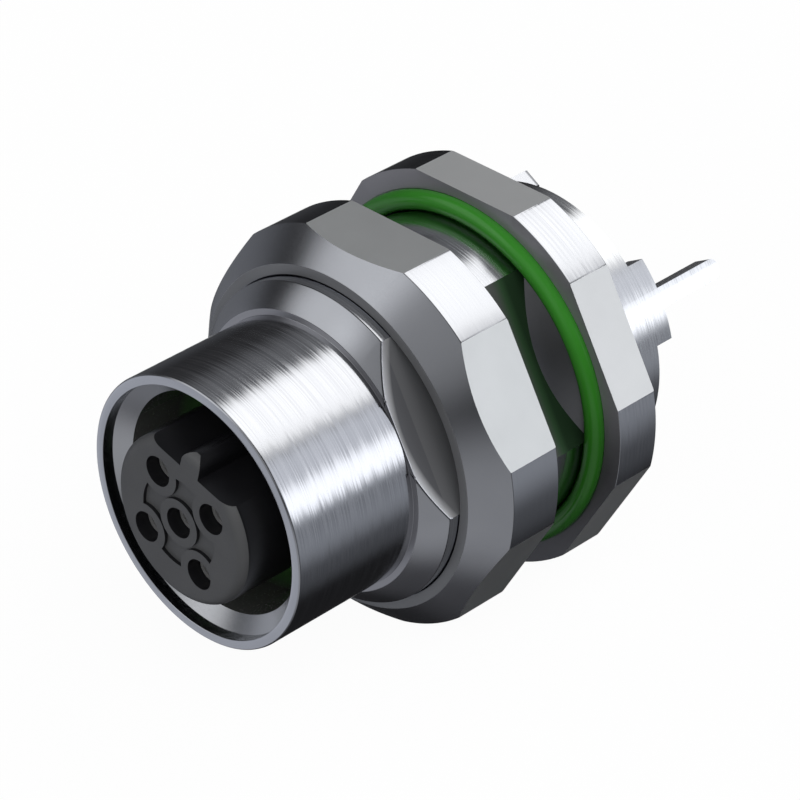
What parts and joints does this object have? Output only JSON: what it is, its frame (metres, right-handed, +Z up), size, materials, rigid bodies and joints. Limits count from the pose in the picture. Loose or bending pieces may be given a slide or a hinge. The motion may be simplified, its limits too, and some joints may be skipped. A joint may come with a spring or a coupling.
{
  "type": "circular panel socket connector",
  "caption": "Round panel-mount socket connector with a hexagon flange, a hexagon lock nut, two green seals, a coded plastic insert and a shield ring with solder legs.",
  "frame": {"origin": "on the socket's axis, in the plane where the hexagon flange's front face meets the panel", "axes": "+Y along the axis from the mating end to the solder end, +Z up with the part lying on one flat of its nut and flange, +X to the right for someone who faces the contacts"},
  "size_m": [0.02, 0.0289, 0.019],
  "materials": {
    "shell_metal": "satin turned metal, fine rings on the tube",
    "nut_metal": "satin turned cone, milled flats",
    "ring_metal": "bright turned metal, fine rings",
    "contact_metal": "gold-plated, smooth",
    "insert_plastic": "dark grey moulded plastic, fine matt grain",
    "carrier_plastic": "black moulded plastic",
    "seal_rubber": "green fluororubber, slight sheen"
  },
  "bodies": {
    "housing": {"shell": "shell_metal", "panel_seal": "seal_rubber", "bottom_seal": "seal_rubber", "socket_insert": "insert_plastic", "contact_carrier": "carrier_plastic", "shield_ring": "ring_metal", "contact_1": "contact_metal", "contact_2": "contact_metal", "contact_3": "contact_metal", "contact_4": "contact_metal", "contact_5": "contact_metal"},
    "nut": {"lock_nut": "nut_metal"}
  },
  "joints": [
    {"name": "nut_turn", "type": "hinge", "parent": "housing", "child": "nut", "pos_m": [0, -0.0063, 0], "axis": [0, 1, 0], "continuous": true}
  ]
}
